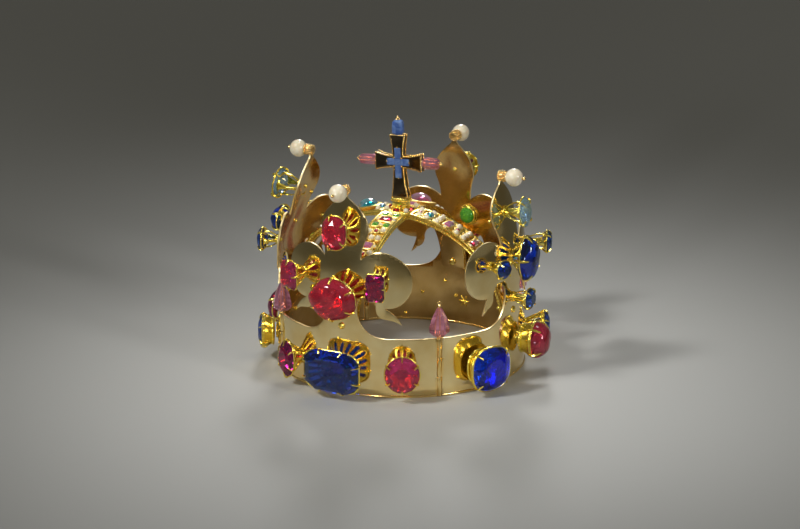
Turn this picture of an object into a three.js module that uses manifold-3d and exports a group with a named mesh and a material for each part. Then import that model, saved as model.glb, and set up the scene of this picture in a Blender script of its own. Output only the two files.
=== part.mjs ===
// A royal crown: four gold plates, each a quarter of the band that rises into a large lily,
// hinged to each other by lift-out pins, bridged by two crossing arches with a small cross on top.
// Millimetres, +Z up, origin at the middle of the band on the plane that the crown rests on.
// The front lily faces -Y.
import * as THREE from "three";
import { mergeVertices } from "three/addons/utils/BufferGeometryUtils.js";
import Module from "manifold-3d";

const wasm = await Module();
wasm.setup();

// Driving dimensions
const BAND_RADIUS = 95;
const BAND_HEIGHT = 45.5;
const SHEET = 1.4;
const RIM_HEIGHT = 2.2;
const RIM_PROUD = 0.8;
const LILY_HEIGHT = 152.5;
const LEAN_START = 88;
const GAP = 0.3;
const RING_STEPS = 64;

// Hinges
const KNUCKLE_RADIUS = 1.8;
const KNUCKLE_BORE = 1.0;
const PIN_RADIUS = 0.7;
const HINGE_RADIUS = BAND_RADIUS - SHEET / 2;
const PIN_COLLAR_RADIUS = 1.7;
const DROP_RADIUS = 7.7;
const DROP_HEIGHT = 21.5;

// Arches and crossing
const ARCH_WIDTH = 20;
const ARCH_DEPTH = 4.5;
const ARCH_RAIL = 1.7;
const ARCH_BED = 1.2;
const ARCH_REACH = BAND_RADIUS - SHEET - 0.8;
const ARCH_SPRING_Z = 44;
const ARCH_RISE = 75.5;
const ARCH_FOOT_Z = 48.5;
const CROSSING_HALF = 11.1;
const CROSSING_TOP = 119;
const CROSSING_THICK = 4.7;
const PEDESTAL_SIDE = 13;
const PEDESTAL_TOP = 128;
const RIVET_Z = 53;
const RIVET_RADIUS = 1.5;

// Cross
const CROSS_FOOT_Z = PEDESTAL_TOP + 2.2 * GAP;
const CROSS_TOP_Z = 176.5;
const CROSS_ARM_Z = 156;
const CROSS_TILT = -3;
const CROSS_HALF_SPAN = 19.2;
const CROSS_THICK = 5.6;
const WIRE_RADIUS = 0.7;
const BEAD_BORE = 1.0;
const INLAY_DEPTH = 1.6;

// Pearls
const PEARL_RADIUS = 6.7;
const PEARL_Z = 155.4;
const PEARL_STANDOFF = 10.5;
const COLLAR_RADIUS = 4.2;

const GOLD = { color: 0xf0b93a, roughness: 0.18, metalness: 1 };
const RED = { color: 0xc2183a, roughness: 0.05, metalness: 0 };
const PINK = { color: 0xd02a66, roughness: 0.05, metalness: 0 };
const PURPLE = { color: 0x6b1544, roughness: 0.05, metalness: 0 };
const ROYAL_BLUE = { color: 0x0a2fd0, roughness: 0.05, metalness: 0 };
const DARK_BLUE = { color: 0x0b1c4a, roughness: 0.05, metalness: 0 };
const PALE_BLUE = { color: 0x6fa6e0, roughness: 0.05, metalness: 0 };
const PEARL = { color: 0xf3ead6, roughness: 0.3, metalness: 0 };

// Each side: its bearing from the front, how far its petal leans in at the tip, half the petal's
// width, how far out its beaks reach, and its stones. The four were shaped by hand and differ.
// A stone: name, bearing from the lily's middle, height, radius of its girdle from the crown's axis,
// width, height across, depth in front of and behind the girdle, cut, finish, upward tilt.
const SIDES = [
  {
    name: "front",
    bearing: 0,
    lean: 6,
    petal: 19.6,
    beak: 44.4,
    stones: [
      ["lily_centre", 0.2, 77.5, 109, 38, 33, 9, 5, "dome", RED, 0],
      ["lily_petal", 0, 127, 106, 20, 25, 5, 7, "cushion", RED, 6],
      ["lily_left", -22, 88, 109, 15, 21, 4, 5, "cushion", PINK, 0],
      ["lily_right", 17.5, 89, 109, 14, 21, 4, 5, "cushion", PURPLE, 0],
      ["band_left", -25, 21, 108, 18, 28, 4, 6, "oval", PURPLE, 0],
      ["band_centre", -0.7, 21, 109, 46, 32, 6, 8, "cushion", ROYAL_BLUE, 0],
      ["band_right", 28, 22.2, 108, 26, 28, 5, 7, "oval", PINK, 0],
    ],
  },
  {
    name: "right",
    bearing: 90,
    lean: 11,
    petal: 19,
    beak: 37,
    stones: [
      ["lily_centre", 0, 95, 106, 24, 33, 8.5, 5, "dome", ROYAL_BLUE, 0],
      ["lily_petal", 0, 130, 104, 18, 22, 3, 6, "oval", PALE_BLUE, 6],
      ["lily_left", -18, 94, 109, 14, 14, 3, 5, "oval", ROYAL_BLUE, 0],
      ["lily_right", 20.5, 97, 112, 15, 17, 3, 5, "oval", DARK_BLUE, 0],
      ["lily_waist", 0, 63, 109, 15, 16, 3, 5, "oval", DARK_BLUE, 0],
      ["band_left", -25, 20.5, 110, 33, 32, 6, 8, "cushion", ROYAL_BLUE, 0],
      ["band_centre", 6, 28, 109, 26, 26, 10, 5, "dome", RED, 0],
      ["band_right", 27.7, 27, 110, 20, 20, 4, 6, "oval", DARK_BLUE, 0],
    ],
  },
  {
    name: "back",
    bearing: 180,
    lean: 5,
    petal: 17,
    beak: 37,
    stones: [
      ["lily_centre", 0, 82, 109, 36, 32, 7, 5, "dome", RED, 0],
      ["lily_petal", 0, 128, 109, 22, 20, 4, 6, "cushion", PURPLE, 6],
      ["lily_left", -20, 90, 109, 15, 19, 4, 5, "cushion", PURPLE, 0],
      ["lily_right", 20, 90, 109, 15, 19, 4, 5, "cushion", PINK, 0],
      ["band_left", -27, 22, 108, 24, 28, 4, 6, "oval", PINK, 0],
      ["band_centre", 0, 23, 109, 40, 31, 6, 8, "cushion", ROYAL_BLUE, 0],
      ["band_right", 27, 22, 108, 24, 28, 4, 6, "oval", PURPLE, 0],
    ],
  },
  {
    name: "left",
    bearing: 270,
    lean: 16,
    petal: 17,
    beak: 37,
    stones: [
      ["lily_centre", 0, 97, 104, 24, 20, 8, 5, "dome", ROYAL_BLUE, 0],
      ["lily_petal", 0, 126, 107, 24, 24, 3, 7, "oval", PALE_BLUE, 6],
      ["lily_left", -20.5, 94, 108, 15, 16, 3, 5, "oval", DARK_BLUE, 0],
      ["lily_right", 20.5, 91, 108, 18, 18, 3, 5, "oval", DARK_BLUE, 0],
      ["lily_waist", 0, 63, 105, 14, 14, 3, 5, "oval", ROYAL_BLUE, 0],
      ["band_left", -27, 22, 108, 28, 30, 5, 7, "cushion", ROYAL_BLUE, 0],
      ["band_centre", 0, 25, 108.5, 24, 26, 7, 6, "dome", PURPLE, 0],
      ["band_right", 27.7, 21.5, 106, 26, 26, 4, 7, "oval", DARK_BLUE, 0],
    ],
  },
];

const rad = THREE.MathUtils.degToRad;
const outline = (points) => points.map(([x, y]) => new THREE.Vector2(x, y));

// A closed geometry as a manifold solid, without the slivers that a lathe leaves on its axis.
function toSolid(geometry) {
  const bare = geometry.clone();
  bare.deleteAttribute("normal");
  bare.deleteAttribute("uv");
  const merged = mergeVertices(bare, 1e-4);
  const corners = merged.index.array;
  const kept = [];
  for (let i = 0; i < corners.length; i += 3) {
    const [a, b, c] = corners.slice(i, i + 3);
    if (a !== b && b !== c && a !== c) kept.push(a, b, c);
  }
  const vertProperties = merged.attributes.position.array;
  const triVerts = new Uint32Array(kept);
  return new wasm.Manifold(new wasm.Mesh({ numProp: 3, vertProperties, triVerts }));
}

function toGeometry(solid) {
  const { vertProperties, triVerts } = solid.getMesh();
  const geometry = new THREE.BufferGeometry();
  geometry.setAttribute("position", new THREE.BufferAttribute(vertProperties, 3));
  geometry.setIndex(new THREE.BufferAttribute(triVerts, 1));
  geometry.computeVertexNormals();
  return geometry;
}

const crown = new THREE.Group();

function addPiece(name, solid, finish) {
  const piece = new THREE.Mesh(toGeometry(solid), new THREE.MeshStandardMaterial(finish));
  piece.name = name;
  crown.add(piece);
}

// The place of a thing that faces outwards: its own X runs to the right as seen from outside,
// its own Y up and its own Z out of the crown.
function facingOut(bearing, radius, height, tilt = 0) {
  const a = rad(bearing);
  const t = rad(tilt);
  const out = new THREE.Vector3(Math.sin(a), -Math.cos(a), 0);
  const up = new THREE.Vector3(0, 0, 1);
  const z = out.clone().multiplyScalar(Math.cos(t)).addScaledVector(up, Math.sin(t));
  const y = up.clone().multiplyScalar(Math.cos(t)).addScaledVector(out, -Math.sin(t));
  const x = new THREE.Vector3(Math.cos(a), Math.sin(a), 0);
  const place = new THREE.Matrix4().makeBasis(x, y, z);
  place.setPosition(out.x * radius, out.y * radius, height);
  return place;
}

const turnedAbout = (bearing) => new THREE.Matrix4().makeRotationZ(rad(bearing));

// A round bar along its own Z, from z = from to z = to.
function bar(radius, from, to, sides = 12, endRadius = radius) {
  const geometry = new THREE.CylinderGeometry(endRadius, radius, to - from, sides);
  geometry.rotateX(Math.PI / 2);
  geometry.translate(0, 0, (from + to) / 2);
  return geometry;
}

function turned(points, sides) {
  const geometry = new THREE.LatheGeometry(outline(points), sides);
  geometry.rotateX(Math.PI / 2);
  return geometry;
}

// The outer radius of a plate at a height: upright to the lobes, then leaning in to the tip.
function wallRadius(z, lean) {
  return BAND_RADIUS - lean * THREE.MathUtils.smoothstep(z, LEAN_START, LILY_HEIGHT);
}

// The sheet that a plate is sawn from, with the thicker rim at its foot.
function sheetRing(lean) {
  const heights = [RIM_HEIGHT, LEAN_START, 101, 114, 127, 140, LILY_HEIGHT + 1];
  const outside = heights.map((z) => [wallRadius(z, lean), z]);
  const inside = heights.map((z) => [wallRadius(z, lean) - SHEET, z]).reverse();
  const foot = [
    [BAND_RADIUS - SHEET - RIM_PROUD, RIM_HEIGHT],
    [BAND_RADIUS - SHEET - RIM_PROUD, 0],
    [BAND_RADIUS + RIM_PROUD, 0],
    [BAND_RADIUS + RIM_PROUD, RIM_HEIGHT],
  ];
  return turned([...outside, ...inside, ...foot, outside[0]], RING_STEPS);
}

// The right half of a plate's outline in front view, from the band's foot to the lily's tip:
// the band, the hollow beside the waist, the hooked beak under the side lobe, the lobe, the petal.
function traceRightHalf(shape, side, { petal, beak }) {
  const to = (x, y) => shape.lineTo(side * x, y);
  const curve = (cx, cy, x, y) => shape.quadraticCurveTo(side * cx, cy, side * x, y);
  to(80, -1);
  to(80, BAND_HEIGHT);
  to(34, BAND_HEIGHT);
  curve(17, 46, 12.5, 63);
  curve(10.5, 76, 19, 77.5);
  curve(25, 78, 26.6, 71);
  curve(26, 62, 33, 60.8);
  curve(beak - 5.4, 60.5, beak, 56.7);
  curve(beak - 3.4, 65, 33, 69);
  curve(46, 69, 50.4, 82);
  curve(53.5, 97, 44, 105.5);
  curve(28, 118, 0.77 * petal, 105);
  curve(0.76 * petal, 112, 0.9 * petal, 119);
  curve(1.15 * petal, 129, 0.77 * petal, 139);
  curve(0.45 * petal, 146, 2.8, 149.5);
  to(1.6, LILY_HEIGHT);
}

function plateOutline(form) {
  const right = new THREE.Shape();
  right.moveTo(0, -1);
  traceRightHalf(right, 1, form);
  const left = new THREE.Shape();
  left.moveTo(0, -1);
  traceRightHalf(left, -1, form);
  const shape = new THREE.Shape([...right.getPoints(4), ...left.getPoints(4).reverse().slice(0, -1)]);
  const geometry = new THREE.ExtrudeGeometry(shape, { depth: 90, bevelEnabled: false });
  geometry.rotateX(Math.PI / 2);
  geometry.translate(0, -20, 0);
  return geometry;
}

// The wedge that holds one quarter of the band, short of the hinges' barrels at both ends.
function quarterWedge() {
  const clearance = KNUCKLE_RADIUS + GAP;
  const half = Math.PI / 4 - clearance / HINGE_RADIUS;
  const reach = 2 * BAND_RADIUS;
  const shape = new THREE.Shape();
  shape.moveTo(0, 0);
  shape.lineTo(-reach * Math.sin(half), -reach * Math.cos(half));
  shape.lineTo(reach * Math.sin(half), -reach * Math.cos(half));
  const geometry = new THREE.ExtrudeGeometry(shape, { depth: 170, bevelEnabled: false });
  geometry.translate(0, 0, -5);
  return geometry;
}

// One barrel of a hinge at the bearing of its pin, with the leaf that joins it to its own plate.
function knuckle(bearing, from, to) {
  const toward = bearing > 0 ? -1 : 1;
  const barrel = bar(KNUCKLE_RADIUS, from, to, 14);
  barrel.translate(0, -HINGE_RADIUS, 0);
  const leaf = new THREE.BoxGeometry(2.6, SHEET, to - from);
  leaf.translate(toward * 2, -HINGE_RADIUS, (from + to) / 2);
  const place = turnedAbout(bearing);
  return toSolid(barrel.applyMatrix4(place)).add(toSolid(leaf.applyMatrix4(place)));
}

function hingeBore(bearing) {
  const bore = bar(KNUCKLE_BORE, -1, BAND_HEIGHT + 1, 12);
  bore.translate(0, -HINGE_RADIUS, 0);
  return toSolid(bore.applyMatrix4(turnedAbout(bearing)));
}

// A stone about its girdle at z = 0: a dome for an uncut stone, or a table cut with 8 or 12 sides.
function stoneShape(width, height, front, back, cut, grow = 0) {
  const r = width / 2 + grow;
  const profile =
    cut === "dome"
      ? [
          [0, -back - grow],
          [0.7 * r, -0.75 * back - grow],
          [r, 0],
          [0.85 * r, 0.55 * front],
          [0.5 * r, 0.88 * front],
          [0, front],
        ]
      : [
          [0, -back - grow],
          [r, -0.8 - grow],
          [r, 0.6],
          [0.65 * r, front],
          [0, front],
        ];
  const sides = cut === "cushion" ? 8 : 12;
  const geometry = new THREE.LatheGeometry(outline(profile), sides);
  geometry.rotateX(Math.PI / 2);
  geometry.rotateZ(Math.PI / sides);
  const flat = cut === "cushion" ? 1 / Math.cos(Math.PI / sides) : 1;
  geometry.scale(flat, (flat * (height / 2 + grow)) / r, 1);
  return geometry;
}

// The funnel that carries a stone, from the plate out to the girdle, hollowed to the stone's back.
function collet([, bearing, z, radius, width, height, front, back, cut, , tilt], side) {
  const length = radius - wallRadius(z, side.lean) + 0.7;
  const sides = cut === "cushion" ? 8 : 12;
  const wide = width / 2 + 1.3;
  const funnel = bar(Math.min(0.5 * wide, 8), -length, 0, sides, wide);
  funnel.rotateZ(Math.PI / sides);
  const flat = cut === "cushion" ? 1 / Math.cos(Math.PI / sides) : 1;
  funnel.scale(flat, (flat * (height / 2 + 1.3)) / wide, 1);
  const seat = toSolid(stoneShape(width, height, front, back, cut, GAP));
  return { solid: toSolid(funnel).subtract(seat), place: facingOut(bearing, radius, z, tilt) };
}

function placed(solid, matrix) {
  return toSolid(toGeometry(solid).applyMatrix4(matrix));
}

function makePlate(side) {
  let plate = toSolid(sheetRing(side.lean))
    .intersect(toSolid(plateOutline(side)))
    .intersect(toSolid(quarterWedge()));
  const third = (BAND_HEIGHT - 2 * GAP) / 3;
  plate = plate.add(knuckle(45, GAP, third - GAP / 2));
  plate = plate.add(knuckle(45, 2 * third + GAP * 2, BAND_HEIGHT));
  plate = plate.add(knuckle(-45, third + GAP / 2, 2 * third + GAP));
  plate = plate.subtract(hingeBore(45)).subtract(hingeBore(-45));
  for (const stone of side.stones) {
    const { solid, place } = collet(stone, side);
    plate = plate.add(placed(solid, place));
  }
  const tip = wallRadius(LILY_HEIGHT, side.lean);
  const collarEnd = tip + PEARL_STANDOFF - 0.8 * PEARL_RADIUS;
  const pearlPlace = facingOut(0, 0, PEARL_Z);
  const pearlEnd = tip + PEARL_STANDOFF + PEARL_RADIUS;
  const collar = toSolid(bar(COLLAR_RADIUS, tip - 2.5, collarEnd, 14).applyMatrix4(pearlPlace));
  const post = toSolid(bar(WIRE_RADIUS, tip, pearlEnd + 0.8, 8).applyMatrix4(pearlPlace));
  const ball = new THREE.SphereGeometry(1.3, 8, 6);
  ball.translate(0, -pearlEnd - 1.6, PEARL_Z);
  plate = plate.add(collar.subtract(pearlSolid(side, GAP))).add(post).add(toSolid(ball));
  const rivetHole = bar(RIVET_RADIUS + GAP, ARCH_REACH - 6, BAND_RADIUS + 4, 12);
  plate = plate.subtract(toSolid(rivetHole.applyMatrix4(facingOut(0, 0, RIVET_Z))));
  return placed(plate, turnedAbout(side.bearing));
}

function pearlSolid(side, grow = 0) {
  const pearl = new THREE.SphereGeometry(PEARL_RADIUS + grow, 12, 8);
  const out = wallRadius(LILY_HEIGHT, side.lean) + PEARL_STANDOFF;
  pearl.translate(0, -out, PEARL_Z);
  return toSolid(pearl);
}

function makePearl(side) {
  const bore = bar(BEAD_BORE, 60, 120, 6).applyMatrix4(facingOut(0, 0, PEARL_Z));
  return placed(pearlSolid(side).subtract(toSolid(bore)), turnedAbout(side.bearing));
}

// A hinge pin with the collar that stops it on the top barrel, the wire through its drop and a hook.
function makeHingePin(bearing) {
  const dropTop = BAND_HEIGHT + 2 * GAP + 1.4 + DROP_HEIGHT;
  const rod = toSolid(bar(PIN_RADIUS, 1, dropTop + 2, 8));
  const stop = toSolid(bar(PIN_COLLAR_RADIUS, BAND_HEIGHT + GAP, BAND_HEIGHT + GAP + 1.1, 12));
  const knob = new THREE.SphereGeometry(1.3, 8, 6);
  knob.translate(0, 0, dropTop + 1.7);
  const pin = rod.add(stop).add(toSolid(knob));
  const place = facingOut(bearing, HINGE_RADIUS, 0);
  const upright = turnedAbout(bearing).setPosition(new THREE.Vector3().setFromMatrixPosition(place));
  return placed(pin, upright);
}

// The drop above a hinge: a long faceted bead, widest low down, drilled for its pin.
function makeDrop(bearing) {
  const foot = BAND_HEIGHT + 2 * GAP + 1.2;
  const drop = turned(
    [
      [0, foot],
      [0.55 * DROP_RADIUS, foot],
      [DROP_RADIUS, foot + 0.26 * DROP_HEIGHT],
      [0.85 * DROP_RADIUS, foot + 0.55 * DROP_HEIGHT],
      [0.3 * DROP_RADIUS, foot + DROP_HEIGHT],
      [0, foot + DROP_HEIGHT],
    ],
    8,
  );
  const hole = bar(BEAD_BORE, 0, foot + DROP_HEIGHT + 5, 8);
  const place = facingOut(bearing, HINGE_RADIUS, 0);
  const upright = turnedAbout(bearing).setPosition(new THREE.Vector3().setFromMatrixPosition(place));
  return placed(toSolid(drop).subtract(toSolid(hole)), upright);
}

// An arch's section through its length, between two ellipses, extruded across its width.
function archSlab(outer, inner, width) {
  const slope = (x, a) => Math.acos(x / a);
  const springAngle = (drop) => Math.asin((ARCH_FOOT_Z - ARCH_SPRING_Z) / (ARCH_RISE - drop));
  const start = CROSSING_HALF + GAP;
  const shape = new THREE.Shape();
  const outerA = ARCH_REACH - outer;
  const innerA = ARCH_REACH - inner;
  const outerStart = slope(start, outerA);
  const innerStart = slope(start, innerA);
  shape.absellipse(0, ARCH_SPRING_Z, outerA, ARCH_RISE - outer, springAngle(outer), outerStart, false);
  shape.absellipse(0, ARCH_SPRING_Z, innerA, ARCH_RISE - inner, innerStart, springAngle(inner), true);
  const geometry = new THREE.ExtrudeGeometry(shape, {
    depth: width,
    bevelEnabled: false,
    curveSegments: 9,
  });
  geometry.translate(0, 0, -width / 2);
  geometry.rotateX(Math.PI / 2);
  geometry.rotateZ(-Math.PI / 2);
  return toSolid(geometry);
}

// One arm of the arches: a strap with raised rails, riveted behind the lily's waist.
function makeArch(bearing) {
  const strap = archSlab(0, ARCH_DEPTH, ARCH_WIDTH);
  const bed = archSlab(-3, ARCH_BED, ARCH_WIDTH - 2 * ARCH_RAIL);
  const hole = bar(RIVET_RADIUS + GAP, ARCH_REACH - 12, ARCH_REACH + 4, 12);
  const rivetHole = toSolid(hole.applyMatrix4(facingOut(0, 0, RIVET_Z)));
  return placed(strap.subtract(bed).subtract(rivetHole), turnedAbout(bearing));
}

function makeRivet(bearing) {
  const archFace = ARCH_REACH - ARCH_DEPTH - 1.5;
  const head = toSolid(bar(2.7, BAND_RADIUS + GAP, BAND_RADIUS + 1.6, 12, 1.8));
  const shank = toSolid(bar(RIVET_RADIUS, archFace - 1, BAND_RADIUS + 1, 12));
  const tail = toSolid(bar(2.2, archFace - 2.2, archFace - GAP, 12, 3));
  const rivet = head.add(shank).add(tail);
  return placed(rivet, facingOut(bearing, 0, RIVET_Z));
}

function makeCrossing() {
  const plate = new THREE.BoxGeometry(2 * CROSSING_HALF, 2 * CROSSING_HALF, CROSSING_THICK);
  plate.translate(0, 0, CROSSING_TOP - CROSSING_THICK / 2);
  const rise = PEDESTAL_TOP - CROSSING_TOP + 1;
  const pedestal = new THREE.BoxGeometry(PEDESTAL_SIDE, PEDESTAL_SIDE - 3, rise);
  pedestal.translate(0, 0, PEDESTAL_TOP - rise / 2);
  const socket = new THREE.BoxGeometry(4.8 + 2 * GAP, 3 + 2 * GAP, 6);
  socket.translate(0, 0, PEDESTAL_TOP - 2);
  return toSolid(plate).add(toSolid(pedestal)).subtract(toSolid(socket));
}

// The cross in front view: four arms that narrow to the middle and flare at their ends.
function crossOutline() {
  const top = CROSS_TOP_Z;
  const half = CROSS_HALF_SPAN;
  const arm = CROSS_ARM_Z;
  const shape = new THREE.Shape();
  shape.moveTo(-6.6, CROSS_FOOT_Z);
  shape.lineTo(6.6, CROSS_FOOT_Z);
  shape.quadraticCurveTo(4, arm - 16, 4, arm - 4);
  shape.quadraticCurveTo(half - 7, arm - 4, half, arm - 6.4);
  shape.lineTo(half, arm + 6.4);
  shape.quadraticCurveTo(half - 7, arm + 4, 4, arm + 4);
  shape.quadraticCurveTo(4, top - 7, 6.2, top);
  shape.lineTo(-6.2, top);
  shape.quadraticCurveTo(-4, top - 7, -4, arm + 4);
  shape.quadraticCurveTo(-half + 7, arm + 4, -half, arm + 6.4);
  shape.lineTo(-half, arm - 6.4);
  shape.quadraticCurveTo(-half + 7, arm - 4, -4, arm - 4);
  shape.quadraticCurveTo(-4, arm - 16, -6.6, CROSS_FOOT_Z);
  return shape;
}

function inlayOutline(grow) {
  const arm = 2.7 + grow;
  const wide = 9.5 + grow;
  const up = 11 + grow;
  const down = 12.5 + grow;
  const z = CROSS_ARM_Z;
  return new THREE.Shape(
    outline([
      [-arm, z - down],
      [arm, z - down],
      [arm, z - arm],
      [wide, z - arm],
      [wide, z + arm],
      [arm, z + arm],
      [arm, z + up],
      [-arm, z + up],
      [-arm, z + arm],
      [-wide, z + arm],
      [-wide, z - arm],
      [-arm, z - arm],
    ]),
  );
}

// A front-view shape extruded backwards, its front face at y = front.
function upright(shape, depth, front) {
  const geometry = new THREE.ExtrudeGeometry(shape, {
    depth,
    bevelEnabled: false,
    curveSegments: 5,
  });
  geometry.rotateX(Math.PI / 2);
  geometry.translate(0, front + depth, 0);
  return toSolid(geometry);
}

const SIDE_BEAD = { length: 14.5, radius: 4.5 };
const TOP_BEAD = { length: 11.5, radius: 4.8 };

// A bead's wire with the ball at its end, along +Z from the cross's edge.
function beadWire(length) {
  const wire = toSolid(bar(WIRE_RADIUS, -2, length + 1.4, 8));
  const ball = new THREE.SphereGeometry(1.25, 8, 6);
  ball.translate(0, 0, length + 2 * GAP + 1.2);
  return wire.add(toSolid(ball));
}

function bead({ length, radius }, sides) {
  const body = turned(
    [
      [0, GAP],
      [0.7 * radius, GAP],
      [radius, 0.28 * length],
      [0.95 * radius, 0.6 * length],
      [0.35 * radius, length],
      [0, length],
    ],
    sides,
  );
  return toSolid(body).subtract(toSolid(bar(BEAD_BORE, -1, length + 1, 8)));
}

const onTop = new THREE.Matrix4().makeTranslation(0, 0, CROSS_TOP_Z);
const onArm = (side) =>
  new THREE.Matrix4()
    .makeRotationY((side * Math.PI) / 2)
    .setPosition(side * CROSS_HALF_SPAN, 0, CROSS_ARM_Z);

function makeCross() {
  const front = -CROSS_THICK / 2;
  let cross = upright(crossOutline(), CROSS_THICK, front);
  cross = cross.subtract(upright(inlayOutline(GAP), INLAY_DEPTH + GAP, front - 0.01));
  cross = cross.add(placed(beadWire(TOP_BEAD.length), onTop));
  for (const side of [-1, 1]) cross = cross.add(placed(beadWire(SIDE_BEAD.length), onArm(side)));
  const tang = new THREE.BoxGeometry(4, 3, 6);
  tang.translate(0, 0, PEDESTAL_TOP - 0.7);
  return cross.add(toSolid(tang));
}

// The cross stands a little askew, turned about the middle of its foot.
const askew = new THREE.Matrix4()
  .makeTranslation(0, 0, CROSS_FOOT_Z)
  .multiply(new THREE.Matrix4().makeRotationY(rad(CROSS_TILT)))
  .multiply(new THREE.Matrix4().makeTranslation(0, 0, -CROSS_FOOT_Z));

for (const side of SIDES) {
  addPiece(`plate_${side.name}`, makePlate(side), GOLD);
  addPiece(`pearl_${side.name}`, makePearl(side), PEARL);
  for (const stone of side.stones) {
    const [name, bearing, z, radius, width, height, front, back, cut, finish, tilt] = stone;
    const solid = toSolid(stoneShape(width, height, front, back, cut));
    const place = turnedAbout(side.bearing).multiply(facingOut(bearing, radius, z, tilt));
    addPiece(`stone_${side.name}_${name}`, placed(solid, place), finish);
  }
  addPiece(`arch_${side.name}`, makeArch(side.bearing), GOLD);
  addPiece(`arch_rivet_${side.name}`, makeRivet(side.bearing), GOLD);
}

const HINGES = { front_right: 45, right_back: 135, back_left: 225, left_front: 315 };
for (const [name, bearing] of Object.entries(HINGES)) {
  addPiece(`hinge_pin_${name}`, makeHingePin(bearing), GOLD);
  addPiece(`pin_drop_${name}`, makeDrop(bearing), PINK);
}

addPiece("crossing_plate", makeCrossing(), GOLD);
addPiece("cross_body", placed(makeCross(), askew), GOLD);
const inlay = upright(inlayOutline(0), INLAY_DEPTH, -CROSS_THICK / 2);
addPiece("cross_inlay", placed(inlay, askew), ROYAL_BLUE);
addPiece("cross_top_bead", placed(placed(bead(TOP_BEAD, 8), onTop), askew), ROYAL_BLUE);
addPiece("cross_left_bead", placed(placed(bead(SIDE_BEAD, 8), onArm(-1)), askew), PINK);
addPiece("cross_right_bead", placed(placed(bead(SIDE_BEAD, 8), onArm(1)), askew), PINK);

export default crown;
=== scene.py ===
# A royal crown of gold plates that rise into jewelled lilies, joined by hinges with lift-out pins
# and bridged by two crossing arches that carry a small cross. Metres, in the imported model's frame.
import math
from bisect import bisect
from collections import namedtuple

import bpy
from mathutils import Matrix, Vector, noise


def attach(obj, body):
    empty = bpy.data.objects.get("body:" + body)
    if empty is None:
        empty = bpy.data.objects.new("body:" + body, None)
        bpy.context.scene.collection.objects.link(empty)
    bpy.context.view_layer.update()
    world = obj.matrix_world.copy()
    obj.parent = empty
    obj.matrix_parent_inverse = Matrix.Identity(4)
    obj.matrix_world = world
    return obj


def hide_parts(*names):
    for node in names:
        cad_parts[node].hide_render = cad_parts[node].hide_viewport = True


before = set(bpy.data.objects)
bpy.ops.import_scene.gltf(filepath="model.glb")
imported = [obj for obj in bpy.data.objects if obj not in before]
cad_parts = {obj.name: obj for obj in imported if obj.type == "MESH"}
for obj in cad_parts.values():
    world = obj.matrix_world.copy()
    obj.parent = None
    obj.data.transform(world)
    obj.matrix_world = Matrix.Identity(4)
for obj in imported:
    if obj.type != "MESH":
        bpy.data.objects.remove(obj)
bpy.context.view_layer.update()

# The viewpoint: a long lens a little above the crown, turned to its front-right quarter, so that
# the front lily, the right-hand lily and the hinge between them all show.
bpy.ops.object.camera_add(location=(0.9747, -1.8574, 0.7193))
camera = bpy.context.object
camera.data.lens = 129.19
camera.data.sensor_width = 36


def aim(thing, target):
    """Turns a camera or a lamp towards a point."""
    thing.rotation_euler = (Vector(target) - thing.location).to_track_quat("-Z", "Y").to_euler()


aim(camera, (-0.0009, -0.0005, 0.0744))
bpy.context.scene.camera = camera


# The studio: a plain pale floor that runs out of sight, a dim even surround and soft lamps. The
# surround stays darker than the lamps, because polished gold shows only what it reflects.
def set_sockets(node, sockets):
    for socket, value in sockets.items():
        node.inputs[socket].default_value = value
    return node


def finish_of(name, sockets):
    """A new finish with plain values on its shader."""
    material = bpy.data.materials.new(name)
    material.use_nodes = True
    set_sockets(material.node_tree.nodes["Principled BSDF"], sockets)
    return material


bpy.ops.mesh.primitive_plane_add(size=14, location=(0, 0, 0))
floor = bpy.context.object
floor.name = "floor"
floor_paint = finish_of("floor_paint", {"Base Color": (0.40, 0.40, 0.38, 1), "Roughness": 0.75})
floor.data.materials.append(floor_paint)

surround = bpy.data.worlds.new("surround")
surround.use_nodes = True
set_sockets(surround.node_tree.nodes["Background"], {"Color": (1.0, 0.97, 0.86, 1), "Strength": 0.14})
bpy.context.scene.world = surround
bpy.context.scene.view_settings.view_transform = "Standard"

SOFT_LAMPS = [
    # name, place, what it is aimed at, width, height, power, spread of its beam in degrees
    ("key_lamp", (-0.9, -1.3, 1.7), (0.06, -0.05, 0.05), 0.5, 0.5, 0.54, 15),
    ("fill_lamp", (1.9, -0.6, 0.9), (0.05, -0.06, 0.05), 0.35, 0.9, 0.38, 19),
    ("front_lamp", (0.2, -2.4, 0.55), (0.06, -0.05, 0.05), 0.3, 0.5, 0.20, 18),
    ("top_lamp", (0.1, 0.3, 1.9), (0, 0, 0.08), 0.45, 0.45, 0.09, 20),
    ("back_lamp", (-0.8, 1.7, 1.2), (0, 0, 0.08), 0.45, 0.45, 0.40, 22),
]
for name, place, target, width, height, power, beam in SOFT_LAMPS:
    bpy.ops.object.light_add(type="AREA", location=place)
    lamp = bpy.context.object
    lamp.name = name
    lamp.data.shape = "RECTANGLE"
    lamp.data.size = width
    lamp.data.size_y = height
    lamp.data.energy = power
    lamp.data.spread = math.radians(beam)
    aim(lamp, target)


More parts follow.
